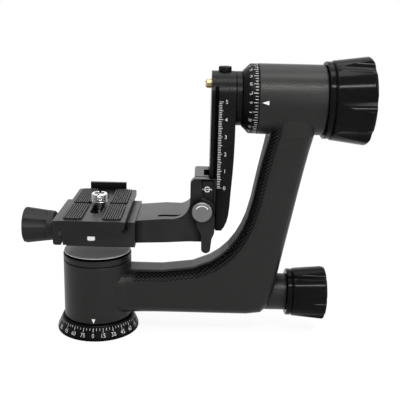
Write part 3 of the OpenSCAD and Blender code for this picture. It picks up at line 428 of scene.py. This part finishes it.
def bar(x0, x1, y0, y1, parts=2):
    """Flat bar as points and faces, cut across so that it can bend."""
    pts, faces = [], []
    for k in range(parts + 1):
        y = y0 + (y1 - y0) * k / parts
        pts += [(x0, y), (x1, y)]
    for k in range(parts):
        a = 2 * k
        faces.append((a, a + 1, a + 3, a + 2))
    return pts, faces


def ring_band(r0, r1, degrees, closed):
    """Flat band between two radii that goes through all the angles."""
    angles = [math.radians(a) for a in degrees]
    pts = [(r * math.cos(a), r * math.sin(a)) for a in angles for r in (r0, r1)]
    faces = [(2 * k, 2 * k + 1, 2 * k + 3, 2 * k + 2) for k in range(len(angles) - 1)]
    if closed:
        faces.append((len(pts) - 2, len(pts) - 1, 1, 0))
    return pts, faces


class Print:
    """Collects flat shapes, wraps each one on to a surface and makes one thin mesh."""

    def __init__(self, name, body):
        self.name, self.body = name, body
        self.verts, self.faces = [], []

    def add(self, shape, wrap):
        pts, faces = shape
        start = len(self.verts)
        self.verts += [wrap(x, y) for x, y in pts]
        self.faces += [tuple(start + i for i in f) for f in faces]

    def done(self):
        mesh = bpy.data.meshes.new(self.name)
        mesh.from_pydata([tuple(v) for v in self.verts], [], self.faces)
        mesh.materials.append(MATS["print"])
        mesh.validate()
        obj = bpy.data.objects.new(self.name, mesh)
        scene.collection.objects.link(obj)
        solid = obj.modifiers.new("thickness", "SOLIDIFY")
        solid.thickness = INK
        solid.offset = 0.0
        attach(obj, self.body)


def radius_at(profile, s):
    """Radius of a turned profile [(place along the axis, radius), ...] at s."""
    for (s0, r0), (s1, r1) in zip(profile, profile[1:]):
        if s <= s1:
            t = min(max((s - s0) / (s1 - s0), 0.0), 1.0)
            return r0 + (r1 - r0) * t
    return profile[-1][1]


# ------------------------------------------------------------- printed markings

def pan_dial_marks():
    """Degree ring round the foot, read from the front."""
    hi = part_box("pan_dial_ring")[1]
    ring_r, ring_h = hi.x, hi.z
    profile = [(1.3 * MM, ring_r), (ring_h - 0.6 * MM, ring_r - 3.0 * MM), (ring_h, ring_r - 3.5 * MM)]
    mean_r = ring_r - 1.5 * MM
    half_tick, tick_top = 0.11 * MM, 7.4 * MM
    long_foot, short_foot = 5.0 * MM, 6.1 * MM

    def at(degrees):
        def wrap(x, y):
            r = radius_at(profile, y) + LIFT
            a = math.radians(degrees) + x / mean_r
            return Vector((r * math.sin(a), -r * math.cos(a), y))
        return wrap

    marks = Print("pan_dial_marks", "base")
    for k in range(TICKS):
        foot = short_foot if k % LONG_EVERY else long_foot
        marks.add(bar(-half_tick, half_tick, foot, tick_top), at(TICK_STEP * k))
    for k in range(NUMBERS):
        degrees = NUMBER_STEP * k
        marks.add(number(degrees % QUARTER, 2.35 * MM, 0.92, 3.3 * MM), at(degrees))
    marks.done()


def tilt_dial_marks():
    """The same print on the tilt dial, turned so that it reads along the axis."""
    dial_r, end = dial_hi.z - TILT_Z, dial_hi.x
    cone_end = dial_lo.x + 3.9 * MM
    profile = [(dial_lo.x, 16.2 * MM), (cone_end, dial_r - 0.3 * MM), (cone_end + 0.3 * MM, dial_r),
               (end, dial_r)]
    half_tick, tick_top = 0.12 * MM, end - 0.3 * MM
    long_foot, short_foot = end - 2.9 * MM, end - 2.0 * MM

    def at(degrees):
        def wrap(x, y):
            r = radius_at(profile, y) + LIFT
            a = math.radians(degrees) + x / dial_r
            return Vector((y, -r * math.cos(a), TILT_Z + r * math.sin(a)))
        return wrap

    marks = Print("tilt_dial_marks", "swing")
    for k in range(TICKS):
        foot = short_foot if k % LONG_EVERY else long_foot
        marks.add(bar(-half_tick, half_tick, foot, tick_top), at(TICK_STEP * k))
    for k in range(NUMBERS):
        degrees = NUMBER_STEP * k
        pts, faces = number(degrees % QUARTER, 1.6 * MM, 0.95, end - 4.5 * MM)
        # here x runs up and y to the right, so x is turned round to keep numbers readable
        marks.add(([(-x, y) for x, y in pts], [f[::-1] for f in faces]), at(-degrees))
    marks.done()


def index_marks():
    """The white triangles on the carbon housings that point at the dials."""
    pan_tip, pan_top, pan_half = arm_lo.z + 0.7 * MM, arm_lo.z + 3.6 * MM, 1.1 * MM
    tilt_tip, tilt_end, tilt_half = dial_hi.x + 1.8 * MM, dial_hi.x + 5.6 * MM, 1.25 * MM

    def on_pan(x, y):
        a = x / PAN_R
        return Vector((PAN_R * math.sin(a), -(PAN_R + LIFT) * math.cos(a), y))

    def on_tilt(x, y):
        a = x / TILT_R
        return Vector((y, -(TILT_R + LIFT) * math.cos(a), TILT_Z + TILT_R * math.sin(a)))

    marks = Print("index_marks", "arm")
    marks.add(([(-pan_half, pan_top), (pan_half, pan_top), (0.0, pan_tip)], [(0, 1, 2)]), on_pan)
    marks.add(([(0.0, tilt_tip), (-tilt_half, tilt_end), (tilt_half, tilt_end)], [(0, 1, 2)]), on_tilt)
    marks.done()


def rail_scale():
    """Millimetre scale on the front of the rail, 0 to 5 cm."""
    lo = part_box("rail")[0]
    front = lo.y - LIFT
    zero_x, zero_z = lo.x + 4.3 * MM, lo.z + 26.0 * MM
    length_cm, half_tick = 5, 0.12 * MM
    number_x, number_h = 4.3 * MM, 2.2 * MM

    def at(height, right=0.0):
        return lambda x, y: Vector((zero_x + right + x, front, zero_z + height + y))

    marks = Print("rail_scale", "swing")
    for k in range(10 * length_cm + 1):
        length = (1.75 if k % 5 else 2.5) * MM
        marks.add(bar(0, length, -half_tick, half_tick, 1), at(k * MM))
    for k in range(length_cm + 1):
        marks.add(number(k, number_h), at(10 * k * MM, number_x))
    marks.done()


def rail_pointer():
    """Ring with a line through it, in the recess of the bracket beside the scale."""
    lo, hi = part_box("bracket")
    # the cheek stands back from the platform's front, and the recess lies deeper still
    cheek_back, recess_deep = 1.2 * MM, 1.2 * MM
    face_y = lo.y + cheek_back + recess_deep - LIFT
    middle_x, middle_z = hi.x - 4.8 * MM, hi.z - 6.4 * MM
    half_line, half_thick = 2.6 * MM, 0.17 * MM

    def wrap(x, y):
        return Vector((middle_x + x, face_y, middle_z + y))

    marks = Print("rail_pointer", "platform")
    marks.add(ring_band(1.2 * MM, 1.7 * MM, range(0, 360, 9), True), wrap)
    marks.add(bar(-half_line, half_line, -half_thick, half_thick, 1), wrap)
    # a small lozenge on each end of the line
    lozenge = [(2.0 * MM, 0.0), (2.5 * MM, 0.42 * MM), (3.0 * MM, 0.0), (2.5 * MM, -0.42 * MM)]
    for side in (-1, 1):
        marks.add(([(side * x, y) for x, y in lozenge], [(0, 1, 2, 3)]), wrap)
    marks.done()


def lever_arc():
    """Plain arc on the lever's cap."""
    lo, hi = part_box("lever_cap")
    middle_x, middle_z, face_y = (lo.x + hi.x) / 2, (lo.z + hi.z) / 2, lo.y - LIFT
    marks = Print("lever_arc", "rail_lever")
    marks.add(ring_band(3.7 * MM, 4.25 * MM, range(32, 149, 4), False),
              lambda x, y: Vector((middle_x + x, face_y, middle_z + y)))
    marks.done()


pan_dial_marks()
tilt_dial_marks()
index_marks()
rail_scale()
rail_pointer()
lever_arc()


# ------------------------------------------------------------------------ stage

def floor():
    """Pale floor: plain white far off, and near the object a little of its lit self and shadow."""
    half = 2.5
    mesh = bpy.data.meshes.new("floor")
    mesh.from_pydata([(-half, -half, 0), (half, -half, 0), (half, half, 0), (-half, half, 0)],
                     [], [(0, 1, 2, 3)])
    obj = bpy.data.objects.new("floor", mesh)
    scene.collection.objects.link(obj)
    m = Mat("floor_white")
    m.surface(Base_Color=m.ramp(m.noise(3.0), [(0.3, 0.86), (0.7, 0.88)]), Roughness=0.9)
    x, y, _ = m.xyz(m.coord())
    far = m.clamped(m.reach(x, y), 0.15, 0.7, 0.9, 1.0)
    glow = m.node("ShaderNodeEmission", Strength=1.0, Color=(1, 1, 1, 1))
    m.blend(m.math("MULTIPLY", m.seen(), far), m.p, glow, m.nt.nodes["Material Output"])
    mesh.materials.append(m.m)
    obj.location.z = -0.2 * MM


def studio():
    """World: soft light, darker towards the camera's side, and a white background."""
    world = bpy.data.worlds.new("studio")
    scene.world = world
    world.use_nodes = True
    world.node_tree.nodes.clear()
    tree = Tree(world.node_tree)
    _, y, z = tree.xyz(tree.coord("Generated"))
    lean = tree.math("ADD", tree.math("MULTIPLY", y, 0.6), tree.math("MULTIPLY", z, 0.75))
    place = tree.math("ADD", tree.math("MULTIPLY", lean, 0.5), 0.5)
    sky = tree.ramp(place, [(0.0, 0.16), (0.42, 0.18), (0.62, 0.55), (1.0, 0.95)])
    light = tree.node("ShaderNodeBackground", Color=sky, Strength=1.0)
    white = tree.node("ShaderNodeBackground", Color=(1, 1, 1, 1), Strength=1.0)
    tree.blend(tree.seen(), light, white, tree.nt.nodes.new("ShaderNodeOutputWorld"))


def area(name, spot, aim, size, watts):
    """Rectangular lamp at spot, turned towards aim."""
    data = bpy.data.lights.new(name, "AREA")
    data.shape = "RECTANGLE"
    data.size, data.size_y = size
    data.energy = watts
    obj = bpy.data.objects.new(name, data)
    obj.location = spot
    obj.rotation_euler = (Vector(aim) - Vector(spot)).to_track_quat("-Z", "Y").to_euler()
    scene.collection.objects.link(obj)


def lamps():
    centre = (0.06, 0.0, 0.09)
    knob = (0.16, 0.0, 0.12)
    area("strip_front", (0.22, -0.6, 0.78), centre, (0.6, 0.07), 7.0)
    area("flutes", (0.46, -0.85, 0.36), knob, (0.08, 0.4), 2.4)
    area("back_low", (0.1, 1.5, 0.42), centre, (1.4, 0.5), 1.5)
    area("top", (0.1, -0.1, 1.1), centre, (1.1, 0.28), 9.0)
    area("back_top", (0.1, 0.5, 1.1), centre, (1.2, 0.6), 4.0)
    area("side_left", (-1.0, -0.25, 0.35), centre, (0.5, 0.8), 0.8)
    area("side_right", (1.1, -0.2, 0.45), centre, (0.12, 0.5), 3.0)


def camera():
    """The camera as fitted to the photograph, in pixels of its width and in degrees."""
    focal, width, sensor = 684.55, 400.0, 36.0
    place = (0.06105, -0.40299, 0.18997)
    pitch, roll, yaw = (math.radians(v) for v in (14.82, -1.38, 0.25))
    cam = bpy.data.cameras.new("camera")
    cam.lens = focal * sensor / width
    cam.sensor_width = sensor
    cam.clip_start, cam.clip_end = 0.01, 20.0
    eye = bpy.data.objects.new("camera", cam)
    scene.collection.objects.link(eye)
    ahead = Vector((math.sin(yaw) * math.cos(pitch), math.cos(yaw) * math.cos(pitch), -math.sin(pitch)))
    right = Vector((math.cos(yaw), -math.sin(yaw), 0.0))
    up = right.cross(ahead)
    rolled_right = right * math.cos(roll) - up * math.sin(roll)
    rolled_up = up * math.cos(roll) + right * math.sin(roll)
    turn = Matrix((rolled_right, rolled_up, -ahead)).transposed().to_4x4()
    eye.matrix_world = Matrix.Translation(place) @ turn
    scene.camera = eye


floor()
studio()
lamps()
camera()
scene.view_settings.view_transform = "Standard"
